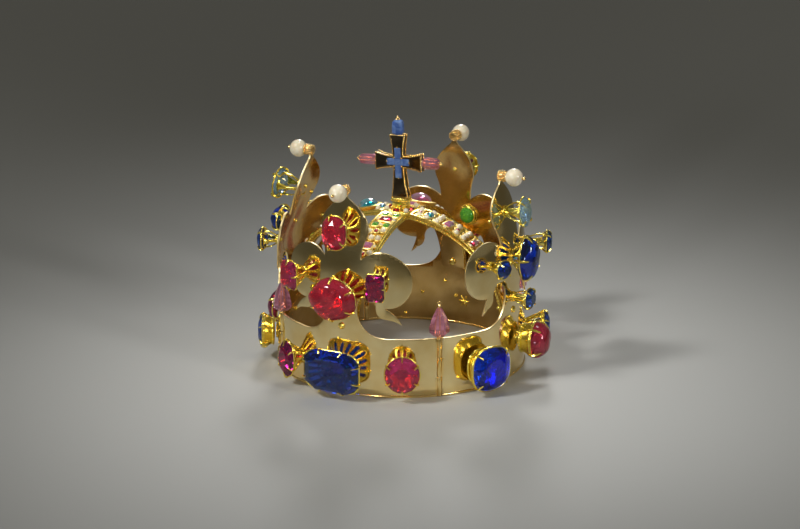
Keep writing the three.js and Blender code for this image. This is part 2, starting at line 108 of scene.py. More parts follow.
# The four plates: each is a quarter of the band and the lily above it, sawn from one sheet of
# gold, filed round at its edges, bent to the crown's circle and polished like a mirror outside,
# less inside. The inside is painted a darker gold as painted shade. The lily's petal leans in
# towards its tip.
mm = 0.001
BAND_RADIUS = 95 * mm
BAND_HEIGHT = 45.5 * mm
SHEET = 1.4 * mm
FILED = 0.4 * mm
LILY_HEIGHT = 152.5 * mm
LEAN_START = 88 * mm
HINGE_RADIUS = BAND_RADIUS - SHEET / 2
KNUCKLE_RADIUS = 1.8 * mm
PLATE_HALF_ANGLE = math.radians(45) - 2.1 * mm / HINGE_RADIUS
HINGE_BODIES = {"front_right": 45, "right_back": 135, "back_left": 225, "left_front": 315}
SIDES = {
    # name: bearing from the front, lean of the petal's tip, half the petal's width, beak's reach
    "front": (0, 6 * mm, 19.6, 44.4),
    "right": (90, 11 * mm, 19.0, 37.0),
    "back": (180, 5 * mm, 17.0, 37.0),
    "left": (270, 16 * mm, 17.0, 37.0),
}


def select_only(*objects):
    bpy.ops.object.select_all(action="DESELECT")
    for chosen in objects:
        chosen.select_set(True)
    bpy.context.view_layer.objects.active = objects[0]


def applied(piece):
    """Puts a piece's own place, turn and scale into its mesh."""
    select_only(piece)
    bpy.ops.object.transform_apply(location=True, rotation=True, scale=True)
    return piece


def apply_modifiers(piece):
    select_only(piece)
    for modifier in list(piece.modifiers):
        bpy.ops.object.modifier_apply(modifier=modifier.name)


def round_edges(piece, width, angle=40, segments=2, finish=-1):
    """Files every sharp edge round, in a finish of its own if one is given."""
    edge = piece.modifiers.new("edge", "BEVEL")
    edge.material = finish
    edge.width = width
    edge.segments = segments
    edge.limit_method = "ANGLE"
    edge.angle_limit = math.radians(angle)
    apply_modifiers(piece)


def edit(piece):
    """Goes into edit mode with the whole mesh selected."""
    select_only(piece)
    bpy.ops.object.mode_set(mode="EDIT")
    bpy.ops.mesh.select_all(action="SELECT")


def edit_faces(piece, wanted):
    """Goes into edit mode with only the wanted faces selected."""
    edit(piece)
    bpy.ops.mesh.select_mode(type="FACE")
    bpy.ops.mesh.select_all(action="DESELECT")
    bpy.ops.object.mode_set(mode="OBJECT")
    for face in piece.data.polygons:
        face.select = wanted(face)
    bpy.ops.object.mode_set(mode="EDIT")


def add_wall(piece, thickness, side=-1, lining=0):
    """Gives an open shape its wall, whose new face may have a finish of its own."""
    wall = piece.modifiers.new("wall", "SOLIDIFY")
    wall.thickness = thickness
    wall.offset = side
    wall.material_offset = lining
    return wall


def turned(degrees, axis="Z"):
    return Matrix.Rotation(math.radians(degrees), 4, axis)


def moved(x, y, z):
    return Matrix.Translation((x, y, z))


def stretched(x, y, z):
    return Matrix.Diagonal((x, y, z, 1))


def placed(piece, place):
    """Moves a piece's mesh and leaves the piece itself at the origin."""
    piece.data.transform(place)
    return piece


def copy_of(piece, place=Matrix.Identity(4)):
    twin = piece.copy()
    twin.data = piece.data.copy()
    twin.data.transform(place)
    bpy.context.collection.objects.link(twin)
    return twin


def joined(pieces):
    select_only(*pieces)
    bpy.ops.object.join()
    return bpy.context.object


def finish_piece(piece, name, material, body="crown_frame", stands_for=None, smooth=35):
    """The last step for every piece: its place goes into its mesh, then its name, finish and body."""
    applied(piece)
    if smooth is None:
        bpy.ops.object.shade_flat()
    else:
        bpy.ops.object.shade_smooth_by_angle(angle=math.radians(smooth))
    piece.name = name
    piece.data.name = name
    if not piece.data.materials:
        piece.data.materials.append(material)
    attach(piece, body)
    if stands_for:
        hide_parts(stands_for)
    return piece


def pattern_in(material, scale, detail, distortion=0.0):
    """A noise that stays put in the piece, for a finish to read."""
    nodes = material.node_tree.nodes
    sockets = {"Scale": scale, "Detail": detail, "Distortion": distortion}
    pattern = set_sockets(nodes.new("ShaderNodeTexNoise"), sockets)
    place = nodes.new("ShaderNodeTexCoord").outputs["Object"]
    material.node_tree.links.new(place, pattern.inputs["Vector"])
    return pattern.outputs["Fac"]


def tint_by(material, pattern, dark, light, margin):
    """Lets the colour wander between two tints with a pattern."""
    tint = material.node_tree.nodes.new("ShaderNodeValToRGB")
    for stop, position, colour in zip(tint.color_ramp.elements, (margin, 1 - margin), (dark, light)):
        stop.position = position
        stop.color = (*colour, 1)
    shader = material.node_tree.nodes["Principled BSDF"]
    material.node_tree.links.new(pattern, tint.inputs["Fac"])
    material.node_tree.links.new(tint.outputs["Color"], shader.inputs["Base Color"])


def gold_finish(name, pale, deep, polish, ripple):
    """Yellow gold: its colour wanders a little, its polish is broken by hairlines, and the sheet
    ripples slightly from the hammer."""
    material = finish_of(name, {"Metallic": 1})
    nodes = material.node_tree.nodes
    link = material.node_tree.links.new
    shader = nodes["Principled BSDF"]
    tint_by(material, pattern_in(material, 45, 4), deep, pale, 0.35)

    wear_range = {"From Min": 0.3, "From Max": 0.75, "To Min": polish, "To Max": polish + 0.12}
    wear = set_sockets(nodes.new("ShaderNodeMapRange"), wear_range)
    link(pattern_in(material, 900, 6), wear.inputs["Value"])
    link(wear.outputs["Result"], shader.inputs["Roughness"])

    dents = set_sockets(nodes.new("ShaderNodeBump"), {"Strength": ripple, "Distance": 0.6 * mm})
    link(pattern_in(material, 60, 1), dents.inputs["Height"])
    link(dents.outputs["Normal"], shader.inputs["Normal"])
    return material


plate_gold = gold_finish("plate_gold", (0.96, 0.78, 0.40), (0.86, 0.64, 0.27), 0.05, 0.3)
# Painted shade: a darker copy of the gold for the plates' inside and the arches' underside, also a little
# less polished.
inner_gold_painted_shade = gold_finish("inner_gold_painted_shade", (0.80, 0.55, 0.22), (0.60, 0.38, 0.12), 0.1, 0.3)
# Painted highlight: a paler gold on the filed edges and rims, for the bright line where they catch the
# light. It is also rougher.
edge_gold_painted_highlight = gold_finish("edge_gold_painted_highlight", (1.0, 0.84, 0.48), (0.96, 0.74, 0.34), 0.3, 0.05)


def wall_radius(z, lean):
    """The outer radius of a plate at a height: upright to the lobes, then leaning in to the tip."""
    share = min(max((z - LEAN_START) / (LILY_HEIGHT - LEAN_START), 0), 1)
    return BAND_RADIUS - lean * share * share * (3 - 2 * share)


def right_half(petal, beak):
    """The right half of a plate's outline in millimetres, in front view: each corner, after the
    control point of the curve that leads to it. It runs over the band, the hollow beside the waist,
    the hooked beak under the side lobe, the lobe and the petal."""
    edge = BAND_RADIUS / mm * math.sin(PLATE_HALF_ANGLE)
    return [
        (None, (0, 0)),
        (None, (edge, 0)),
        (None, (edge, 45.5)),
        (None, (34, 45.5)),
        ((17, 46), (12.5, 63)),
        ((10.5, 76), (19, 77.5)),
        ((25, 78), (26.6, 71)),
        ((26, 62), (33, 60.8)),
        ((beak - 5.4, 60.5), (beak, 56.7)),
        ((beak - 3.4, 65), (33, 69)),
        ((46, 69), (50.4, 82)),
        ((53.5, 97), (44, 105.5)),
        ((28, 118), (0.77 * petal, 105)),
        ((0.76 * petal, 112), (0.9 * petal, 119)),
        ((1.15 * petal, 129), (0.77 * petal, 139)),
        ((0.45 * petal, 146), (2.8, 149.5)),
        (None, (1.6, 152.5)),
    ]


def mirrored(right):
    """The whole of an outline whose right half is given."""
    controls = [control for control, _ in right[1:]] + [None]
    return right + [
        (control and (-control[0], control[1]), (-x, z))
        for control, (_, (x, z)) in reversed(list(zip(controls, right)))
        if x
    ]


def drawn_outline(corners):
    """A filled flat curve through corners in millimetres, each after its control point."""
    bpy.ops.curve.primitive_bezier_curve_add()
    drawn = bpy.context.object
    drawn.data.dimensions = "2D"
    drawn.data.fill_mode = "BOTH"
    drawn.data.resolution_u = 8
    spline = drawn.data.splines[0]
    spline.use_cyclic_u = True
    spline.bezier_points.add(len(corners) - 2)
    for point, (_, here) in zip(spline.bezier_points, corners):
        point.handle_left_type = "FREE"
        point.handle_right_type = "FREE"
        point.co = (here[0] * mm, here[1] * mm, 0)
    for i, (control, _) in enumerate(corners):
        before = Vector(spline.bezier_points[i - 1].co)
        after = Vector(spline.bezier_points[i].co)
        pull = (before + after) / 2
        if control:
            pull = Vector((control[0] * mm, control[1] * mm, 0))
        spline.bezier_points[i - 1].handle_right = before + (pull - before) * 2 / 3
        spline.bezier_points[i].handle_left = after + (pull - after) * 2 / 3
    return drawn


def cut_out(drawn):
    """Makes a drawn outline a mesh that stands upright, in front view."""
    select_only(drawn)
    bpy.ops.object.convert(target="MESH")
    flat = bpy.context.object
    flat.data.transform(turned(90, "X"))
    return flat


SCORE_BEARINGS = range(-42, 43, 2)
SCORE_HEIGHTS = [*range(8, 86, 6), *range(86, 152, 2)]


def bend_plate(flat, lean):
    """Scores the flat plate on a grid, then bends it round the crown's circle and in at the petal."""
    edit(flat)
    bpy.ops.mesh.remove_doubles(threshold=0.02 * mm)
    bpy.ops.mesh.dissolve_limited(angle_limit=math.radians(0.5))
    columns = [BAND_RADIUS * math.sin(math.radians(degrees)) for degrees in SCORE_BEARINGS]
    rows = [height * mm for height in SCORE_HEIGHTS]
    scores = [((x, 0, 0), (1, 0, 0)) for x in columns] + [((0, 0, z), (0, 0, 1)) for z in rows]
    for place, across in scores:
        bpy.ops.mesh.select_all(action="SELECT")
        bpy.ops.mesh.bisect(plane_co=place, plane_no=across)
    bpy.ops.mesh.select_all(action="SELECT")
    bpy.ops.mesh.remove_doubles(threshold=0.05 * mm)
    bpy.ops.object.mode_set(mode="OBJECT")
    for vertex in flat.data.vertices:
        radius = wall_radius(vertex.co.z, lean)
        vertex.co.y = -math.sqrt(radius**2 - vertex.co.x**2)


for side, (bearing, lean, petal, beak) in SIDES.items():
    plate = cut_out(drawn_outline(mirrored(right_half(petal, beak))))
    bend_plate(plate, lean)
    for layer in (plate_gold, edge_gold_painted_highlight, inner_gold_painted_shade):
        plate.data.materials.append(layer)
    # The inside faces take the darker gold, painted shade.
    sheet = add_wall(plate, SHEET, lining=2)
    sheet.use_even_offset = True
    # The rims and the filed edges take the paler gold, a painted highlight.
    sheet.material_offset_rim = 1
    round_edges(plate, FILED, angle=50, segments=3, finish=1)
    plate.data.transform(turned(bearing))
    finish_piece(plate, f"lily_plate_{side}", plate_gold, stands_for=f"plate_{side}")


# The foot rims: a half-round wire of the same gold, soldered along the foot of each plate, so that
# the thin sheet doesn't stand on its edge.
RIM_HEIGHT = 2.2 * mm
RIM_WIDTH = 2.8 * mm
rim_gold = gold_finish("rim_gold", (0.95, 0.72, 0.30), (0.88, 0.60, 0.20), 0.12, 0.05)


def ring_of_wire(radius, thick, height=0, segments=40, sides=8):
    bpy.ops.mesh.primitive_torus_add(
        major_radius=radius,
        minor_radius=thick,
        major_segments=segments,
        minor_segments=sides,
        location=(0, 0, height),
    )
    return applied(bpy.context.object)


def cut_to_quarter(ring):
    """Keeps the stretch of a ring that belongs to the front plate and closes its two ends."""
    edit(applied(ring))
    for way in (1, -1):
        bpy.ops.mesh.select_all(action="SELECT")
        across = (way * math.cos(PLATE_HALF_ANGLE), math.sin(PLATE_HALF_ANGLE), 0)
        bpy.ops.mesh.bisect(plane_co=(0, 0, 0), plane_no=across, use_fill=True, clear_outer=True)
    bpy.ops.object.mode_set(mode="OBJECT")


foot_rim = ring_of_wire(BAND_RADIUS - SHEET / 2, RIM_WIDTH / 2, segments=160, sides=14)
foot_rim.scale.z = RIM_HEIGHT / RIM_WIDTH
foot_rim.location.z = RIM_HEIGHT / 2
cut_to_quarter(foot_rim)
for side, (bearing, *_) in SIDES.items():
    rim = copy_of(foot_rim, turned(bearing))
    finish_piece(rim, f"foot_rim_{side}", rim_gold)
bpy.data.objects.remove(foot_rim)


# The hinge barrels: short tubes rolled from the sheet, two at one end of each plate and one at the
# other, which mesh with the next plate's and take the lift-out pin.
BARREL_BORE = 1.0 * mm
BARREL_PLAY = 0.3 * mm
BARREL_LENGTH = (BAND_HEIGHT - 3 * BARREL_PLAY) / 3
BARREL_EDGE = 0.18 * mm


def facing_out(bearing, radius, height, tilt=0):
    """The place of a thing that faces out of the crown: its X runs to the right as seen from
    outside, its Y up and its Z outwards."""
    return turned(bearing) @ moved(0, -radius, height) @ turned(90 - tilt, "X")


def box(size, middle):
    bpy.ops.mesh.primitive_cube_add(size=1, location=middle)
    made = bpy.context.object
    made.scale = size
    return applied(made)


def soft_box(size, middle, softness, segments=3):
    made = box(size, middle)
    round_edges(made, softness, segments=segments)
    return made


def barrel(bearing, low, toward):
    """One barrel standing at height low, with the leaf that runs back into its plate."""
    bpy.ops.mesh.primitive_cylinder_add(
        vertices=28,
        radius=KNUCKLE_RADIUS,
        depth=BARREL_LENGTH,
        end_fill_type="NOTHING",
        location=(0, -HINGE_RADIUS, low + BARREL_LENGTH / 2),
    )
    tube = bpy.context.object
    add_wall(tube, KNUCKLE_RADIUS - BARREL_BORE)
    round_edges(tube, BARREL_EDGE, angle=50)
    leaf_at = (toward * 2.4 * mm, -HINGE_RADIUS, low + BARREL_LENGTH / 2)
    leaf = soft_box((1.6 * mm, SHEET, BARREL_LENGTH), leaf_at, BARREL_EDGE, segments=2)
    both = applied(joined([tube, leaf]))
    both.data.transform(turned(bearing))
    return both


for side, (bearing, *_) in SIDES.items():
    step = BARREL_LENGTH + BARREL_PLAY
    low = BARREL_PLAY
    barrels = joined([barrel(45, low, -1), barrel(45, low + 2 * step, -1), barrel(-45, low + step, 1)])
    barrels.data.transform(turned(bearing))
    finish_piece(barrels, f"hinge_barrels_{side}", rim_gold)


# The large stones: spinels and sapphires. The uncut ones are polished pebbles and the others have
# facets, either in steps like a table or in triangles round a small table. Each is put together
# from rings of corners, whose hull gives the facets.
def hull(piece):
    edit(piece)
    bpy.ops.mesh.convex_hull()
    bpy.ops.mesh.select_all(action="SELECT")
    bpy.ops.mesh.dissolve_limited(angle_limit=math.radians(1))
    bpy.ops.object.mode_set(mode="OBJECT")


def empty_mesh():
    """A piece with nothing in it yet, left in edit mode."""
    bpy.ops.mesh.primitive_plane_add()
    made = bpy.context.object
    edit(made)
    bpy.ops.mesh.delete(type="VERT")
    return made


def round_cut(rings):
    """Rings of corners: how many, their radius, their height and how far they are turned."""
    stone = empty_mesh()
    for count, radius, height, turn in rings:
        bpy.ops.mesh.primitive_circle_add(
            vertices=count,
            radius=radius,
            location=(0, 0, height),
            rotation=(0, 0, math.radians(turn)),
        )
    bpy.ops.object.mode_set(mode="OBJECT")
    hull(stone)
    return stone


def step_cut(corner, steps):
    """A stone of square steps with cut corners: each step is two crossed plates."""
    stone = empty_mesh()
    for reach, height in steps:
        for wide, tall in ((1, 1 - corner), (1 - corner, 1)):
            bpy.ops.mesh.primitive_plane_add(size=2 * reach, location=(0, 0, height))
            bpy.ops.transform.resize(value=(wide, tall, 1))
    bpy.ops.object.mode_set(mode="OBJECT")
    hull(stone)
    return stone


def outline_stretch(x, y, power):
    """How much further out a squared outline runs than a circle, in the direction of (x, y)."""
    length = math.hypot(x, y)
    if length < 1e-9 or power == 2:
        return 1
    return (abs(x / length) ** power + abs(y / length) ** power) ** (-1 / power)


EMERALD_CROWN = [(0.58, 1), (0.78, 0.74), (0.93, 0.4), (1, 0.08)]
EMERALD_PAVILION = [(1, -0.08), (0.8, -0.45), (0.5, -0.8), (0.12, -1)]
emerald_cut = step_cut(0.26, EMERALD_CROWN + EMERALD_PAVILION)
OCTAGON_CROWN = [(0.68, 1), (0.86, 0.7), (1, 0.1)]
OCTAGON_PAVILION = [(1, -0.1), (0.78, -0.5), (0.45, -0.85), (0.1, -1)]
octagon_cut = step_cut(0.42, OCTAGON_CROWN + OCTAGON_PAVILION)
BRILLIANT = [
    (8, 0.52, 1, 22.5),
    (8, 0.80, 0.62, 0),
    (16, 1, 0.08, 11.25),
    (16, 1, -0.08, 11.25),
    (8, 0.62, -0.55, 0),
    (8, 0.2, -0.92, 22.5),
    (4, 0.03, -1, 0),
]
brilliant_cut = round_cut(BRILLIANT)
cushion_cut = copy_of(brilliant_cut)
for vertex in cushion_cut.data.vertices:
    stretch = outline_stretch(vertex.co.x, vertex.co.y, 2.6)
    vertex.co.x *= stretch
    vertex.co.y *= stretch
hull(cushion_cut)

bpy.ops.mesh.primitive_uv_sphere_add(segments=48, ring_count=24, radius=1)
pebble = bpy.context.object
for vertex in pebble.data.vertices:
    lump = noise.noise(vertex.co * 1.1 + Vector((3, 1, 7))) * 0.16
    lump += noise.noise(vertex.co * 2.6) * 0.04
    vertex.co *= 1 + lump
    vertex.co.z = math.copysign(abs(vertex.co.z) ** 0.8, vertex.co.z)
CUTS = {
    # name: shape, how square its outline is
    "emerald": (emerald_cut, 5),
    "octagon": (octagon_cut, 4),
    "brilliant": (brilliant_cut, 2),
    "cushion": (cushion_cut, 2.6),
    "pebble": (pebble, 2),
}


def gem_finish(name, colour, heart, clarity, gloss=0.02, density=1.6):
    """A clear coloured stone: light passes through it, with a deeper heart and faint clouds."""
    sockets = {
        "Transmission Weight": clarity,
        "Roughness": gloss,
        "IOR": density,
        "Specular IOR Level": 0.15,
    }
    material = finish_of(name, sockets)
    tint_by(material, pattern_in(material, 140, 3, 0.8), heart, colour, 0.3)
    return material


GEMS = {
    "red_spinel": gem_finish("red_spinel", (0.84, 0.06, 0.12), (0.48, 0.018, 0.05), 0.78, 0.03, 1.62),
    "pink_spinel": gem_finish("pink_spinel", (0.92, 0.10, 0.32), (0.62, 0.03, 0.17), 0.92),
    "purple_spinel": gem_finish("purple_spinel", (0.46, 0.02, 0.20), (0.22, 0.005, 0.1), 0.9),
    "royal_sapphire": gem_finish("royal_sapphire", (0.0, 0.08, 1.0), (0.0, 0.03, 0.7), 0.98, 0.0, 1.6),
    "dark_sapphire": gem_finish("dark_sapphire", (0.02, 0.14, 0.80), (0.01, 0.07, 0.50), 0.96, 0.01, 1.7),
    "pale_sapphire": gem_finish("pale_sapphire", (0.60, 0.84, 1.0), (0.38, 0.66, 1.0), 0.8),
}
rose_spinel = gem_finish("rose_spinel", (1.0, 0.50, 0.66), (0.92, 0.34, 0.50), 0.88, 0.01, 1.7)
Stone = namedtuple("Stone", "bearing height radius width tall front back tilt cut colour claws")
STONES = {
    # name: bearing from the lily's middle, height, girdle's radius, width, height across, depth in
    # front of the girdle and behind it, upward tilt, cut, colour, claws
    "front": {
        "lily_centre": (0.2, 77.5, 109, 37, 31.5, 9, 5, 0, "pebble", "red_spinel", 6),
        "lily_petal": (0, 127, 106, 20, 25, 5, 7, 6, "cushion", "red_spinel", 5),
        "lily_left": (-22, 88, 109, 16.5, 21, 4, 5, 0, "emerald", "pink_spinel", 4),
        "lily_right": (17.5, 89, 109, 14, 21, 4, 5, 0, "emerald", "purple_spinel", 4),
        "band_left": (-25, 21, 108, 18, 28, 4, 6, 0, "brilliant", "purple_spinel", 6),
        "band_centre": (-0.7, 21, 109, 46, 32, 6, 8, 0, "octagon", "royal_sapphire", 8),
        "band_right": (28, 22.2, 108, 26, 28, 5, 7, 0, "brilliant", "pink_spinel", 6),
    },
    "right": {
        "lily_centre": (0, 95, 106, 24, 33, 8.5, 5, 0, "pebble", "royal_sapphire", 5),
        "lily_petal": (0, 130, 104, 18, 22, 3, 6, 6, "brilliant", "pale_sapphire", 4),
        "lily_left": (-18, 94, 109, 14, 14, 3, 5, 0, "brilliant", "royal_sapphire", 4),
        "lily_right": (20.5, 97, 112, 15, 17, 3, 5, 0, "brilliant", "dark_sapphire", 4),
        "lily_waist": (0, 63, 109, 15, 16, 3, 5, 0, "brilliant", "dark_sapphire", 4),
        "band_left": (-25, 20.5, 110, 35, 33, 6, 8, 0, "cushion", "royal_sapphire", 4),
        "band_centre": (6, 28, 109, 26.5, 27, 11.5, 5, 0, "pebble", "red_spinel", 4),
        "band_right": (27.7, 27, 110, 20, 20, 4, 6, 0, "brilliant", "dark_sapphire", 6),
    },
    "back": {
        "lily_centre": (0, 82, 109, 36, 32, 7, 5, 0, "pebble", "red_spinel", 6),
        "lily_petal": (0, 128, 109, 22, 20, 4, 6, 6, "cushion", "purple_spinel", 5),
        "lily_left": (-20, 90, 109, 15, 19, 4, 5, 0, "emerald", "purple_spinel", 4),
        "lily_right": (20, 90, 109, 15, 19, 4, 5, 0, "emerald", "pink_spinel", 4),
        "band_left": (-27, 22, 108, 24, 28, 4, 6, 0, "brilliant", "pink_spinel", 6),
        "band_centre": (0, 23, 109, 40, 31, 6, 8, 0, "octagon", "royal_sapphire", 8),
        "band_right": (27, 22, 108, 24, 28, 4, 6, 0, "brilliant", "purple_spinel", 6),
    },
    "left": {
        "lily_centre": (0, 97, 104, 24, 20, 8, 5, 0, "pebble", "royal_sapphire", 5),
        "lily_petal": (0, 126, 107, 24, 24, 3, 7, 6, "brilliant", "pale_sapphire", 4),
        "lily_left": (-20.5, 94, 108, 15, 16, 3, 5, 0, "brilliant", "dark_sapphire", 4),
        "lily_right": (20.5, 91, 108, 18, 18, 3, 5, 0, "brilliant", "dark_sapphire", 4),
        "lily_waist": (0, 63, 105, 14, 14, 3, 5, 0, "brilliant", "royal_sapphire", 4),
        "band_left": (-27, 22, 108, 28, 30, 5, 7, 0, "cushion", "royal_sapphire", 6),
        "band_centre": (0, 25, 108.5, 24, 26, 7, 6, 0, "pebble", "purple_spinel", 5),
        "band_right": (27.7, 21.5, 106, 26, 26, 4, 7, 0, "brilliant", "dark_sapphire", 6),
    },
}


def stone_place(side, traits):
    bearing = SIDES[side][0] + traits.bearing
    return facing_out(bearing, traits.radius * mm, traits.height * mm, traits.tilt)


for side, stones in STONES.items():
    for name, row in stones.items():
        traits = Stone(*row)
        stones[name] = traits
        stone = copy_of(CUTS[traits.cut][0])
        for vertex in stone.data.vertices:
            vertex.co.x *= traits.width / 2 * mm
            vertex.co.y *= traits.tall / 2 * mm
            vertex.co.z *= (traits.front if vertex.co.z > 0 else traits.back) * mm
        finish_piece(
            placed(stone, stone_place(side, traits)),
            f"gem_{side}_{name}",
            GEMS[traits.colour],
            stands_for=f"stone_{side}_{name}",
            smooth=60 if traits.cut == "pebble" else None,
        )


# The settings: each stone sits in a funnel of gold, pierced so that light reaches the stone's back,
# with a seat ring below the girdle and wire claws bent over the edge. Its post goes through the
# plate and is hammered to a dome inside.
setting_gold = gold_finish("setting_gold", (1.0, 0.86, 0.22), (1.0, 0.74, 0.10), 0.18, 0.05)
FUNNEL_WALL = 0.8 * mm
PEBBLE_CLAW = 0.95 * mm
CUT_CLAW = 0.62 * mm
# Three stones sit in deep closed cups instead. No light comes from behind them there, so each cup
# is lined with bright foil.
CUPPED = {"right_band_left", "right_band_centre", "left_band_right"}
CUP_WALL = 1 * mm
CUP_FOOT_SHARE = 0.72
setting_foil = gold_finish("setting_foil", (0.92, 0.95, 1.0), (0.80, 0.86, 0.95), 0.25, 0.4)


def claw_wire(reach, rise, grip, thick):
    """One claw in the XZ plane: up from under the seat, round the girdle and over the crown."""
    bpy.ops.curve.primitive_bezier_curve_add()
    wire = bpy.context.object
    wire.data.dimensions = "3D"
    wire.data.bevel_depth = thick
    wire.data.bevel_resolution = 1
    wire.data.resolution_u = 4
    wire.data.use_fill_caps = True
    points = wire.data.splines[0].bezier_points
    points.add(2)
    path = [
        (reach - 2.2 * mm, -4.4 * mm, 0.8),
        (reach + 0.7 * mm, -0.9 * mm, 1),
        (reach + 0.35 * mm, rise * 0.45, 1),
        (reach - grip, rise + 0.5 * mm, 0.75),
    ]
    for point, (x, z, share) in zip(points, path):
        point.handle_left_type = "AUTO"
        point.handle_right_type = "AUTO"
        point.co = (x, 0, z)
        point.radius = share
    select_only(wire)
    bpy.ops.object.convert(target="MESH")
    return bpy.context.object


def pierced_funnel(count, foot, rim, length):
    """A funnel with a window in each of its sides."""
    bpy.ops.mesh.primitive_cone_add(
        vertices=count,
        radius1=foot,
        radius2=rim,
        depth=length,
        end_fill_type="NOTHING",
        location=(0, 0, -length / 2 - 0.8 * mm),
    )
    funnel = bpy.context.object
    edit(funnel)
    bpy.ops.mesh.inset(thickness=min(0.9 * mm, foot * 0.35), use_individual=True)
    bpy.ops.mesh.delete(type="FACE")
    bpy.ops.object.mode_set(mode="OBJECT")
    add_wall(funnel, FUNNEL_WALL, side=1)
    soft = funnel.modifiers.new("soft", "SUBSURF")
    soft.levels = 1
    soft.render_levels = 1
    apply_modifiers(funnel)
    return funnel


def closed_cup(rim, length):
    """A deep round cup with a narrower foot, open at the top."""
    bpy.ops.mesh.primitive_cylinder_add(
        vertices=40, radius=rim, depth=length, location=(0, 0, -length / 2 + 0.6 * mm)
    )
    cup = bpy.context.object
    edit_faces(cup, lambda face: face.normal.z > 0.9)
    bpy.ops.mesh.delete(type="FACE")
    bpy.ops.object.mode_set(mode="OBJECT")
    foot_z = min(vertex.co.z for vertex in cup.data.vertices)
    for vertex in cup.data.vertices:
        if vertex.co.z < foot_z + 0.1 * mm:
            vertex.co.x *= CUP_FOOT_SHARE
            vertex.co.y *= CUP_FOOT_SHARE
    cup.data.materials.append(setting_gold)
    cup.data.materials.append(setting_foil)
    add_wall(cup, CUP_WALL, lining=1)
    round_edges(cup, 0.3 * mm, angle=40, segments=3)
    return cup


def make_setting(traits, wall_gap, cupped):
    """The setting of one stone about its girdle: made round, then stretched to the outline."""
    cut, claws = traits.cut, traits.claws
    mean = (traits.width + traits.tall) / 4 * mm
    length = wall_gap - 0.4 * mm
    thick = PEBBLE_CLAW if cut == "pebble" else CUT_CLAW
    parts = []
    if cupped:
        parts.append(applied(closed_cup(mean + 0.9 * mm, length * 0.72)))
        parts.append(ring_of_wire(mean * 0.8, 0.9 * mm, -length * 0.7))
    else:
        foot = min(0.36 * mean, 4.5 * mm)
        bars = claws if claws == 4 and cut == "brilliant" else 2 * claws
        parts.append(applied(pierced_funnel(bars, foot, mean - 0.2 * mm, length - 0.6 * mm)))
    parts.append(ring_of_wire(mean, 0.65 * mm, -0.9 * mm))
    parts.append(ring_of_wire(min(0.4 * mean, 5 * mm), 0.8 * mm, -wall_gap + 0.5 * mm))
    claw = claw_wire(mean, traits.front * 0.62 * mm, min(0.24 * mean, 3 * mm), thick)
    for i in range(claws):
        turn = 360 / claws * (i + (0 if claws == 4 and cut == "emerald" else 0.5))
        parts.append(copy_of(claw, turned(turn)))
    bpy.data.objects.remove(claw)
    for part in parts:
        if not part.data.materials:
            part.data.materials.append(setting_gold)
    setting = joined(parts)
    for vertex in setting.data.vertices:
        x, y = vertex.co.x, vertex.co.y
        stretch = outline_stretch(x, y, CUTS[cut][1])
        far = min(math.hypot(x, y) / mean, 1)
        stretch = 1 + (stretch - 1) * far
        vertex.co.x = x * (1 + (traits.width / 2 * mm / mean - 1) * far) * stretch
        vertex.co.y = y * (1 + (traits.tall / 2 * mm / mean - 1) * far) * stretch
    return setting


POST_HEAD = 1.7 * mm
LOOSE_HEAD = 1.5 * mm
LOOSE_RIVETS = {
    # plate: bearing and height in mm of old rivets that hold no stone now
    "back": [(197.2, 23.4), (205.6, 5.5), (185.9, 34.5)],
    "left": [(261.5, 118)],
}


def ball(radius, place=(0, 0, 0), segments=14):
    bpy.ops.mesh.primitive_uv_sphere_add(
        segments=segments, ring_count=segments // 2 + 1, radius=radius, location=place
    )
    return applied(bpy.context.object)


for side, stones in STONES.items():
    bearing, lean, *_ = SIDES[side]
    heads = []
    for name, traits in stones.items():
        wall = wall_radius(traits.height * mm, lean)
        cupped = f"{side}_{name}" in CUPPED
        setting = placed(make_setting(traits, traits.radius * mm - wall, cupped), stone_place(side, traits))
        finish_piece(setting, f"setting_{side}_{name}", setting_gold, smooth=50)
        inner_face = facing_out(bearing + traits.bearing, wall - SHEET, traits.height * mm)
        heads.append(placed(ball(POST_HEAD), inner_face))
    for around, height in LOOSE_RIVETS.get(side, ()):
        inner_face = facing_out(around, wall_radius(height * mm, lean) - SHEET, height * mm)
        heads.append(placed(ball(LOOSE_HEAD), inner_face))
    finish_piece(joined(heads), f"post_heads_{side}", setting_gold)
for shape, _ in CUTS.values():
    bpy.data.objects.remove(shape)


# The pearls: one stands out from the tip of each lily on a gold wire, behind it a collar of beaded
# wire and in front of it a small ball that keeps it on.
PEARL_RADIUS = 6.7 * mm
PEARL_HEIGHT = 155.4 * mm
PEARL_STANDOFF = 10.5 * mm
wire_gold = gold_finish("wire_gold", (1.0, 0.74, 0.34), (0.94, 0.62, 0.2), 0.12, 0.02)

pearl_lustre = finish_of(
    "pearl_lustre",
    {
        "Roughness": 0.22,
        "Subsurface Weight": 0.25,
        "Subsurface Radius": (1.0, 0.7, 0.5),
        "Subsurface Scale": 0.002,
        "Coat Weight": 0.6,
        "Coat Roughness": 0.12,
        "Sheen Weight": 0.15,
    },
)
tint_by(
    pearl_lustre, pattern_in(pearl_lustre, 160, 3), (0.78, 0.67, 0.45), (0.92, 0.85, 0.66), 0.3
)


def rod(radius, low, high, vertices=14):
    """A round rod along Z with its ends rounded off."""
    bpy.ops.mesh.primitive_cylinder_add(
        vertices=vertices, radius=radius, depth=high - low, location=(0, 0, (low + high) / 2)
    )
    made = applied(bpy.context.object)
    round_edges(made, radius * 0.25, angle=60)
    return made


def beaded_ring(radius, bead, height):
    """A ring of small touching balls about Z, like drawn beaded wire."""
    count = round(2 * math.pi * radius / (1.9 * bead))
    grain = ball(bead, (radius, 0, height), segments=8)
    grains = [copy_of(grain, turned(360 * i / count)) for i in range(count)]
    bpy.data.objects.remove(grain)
    return joined(grains)


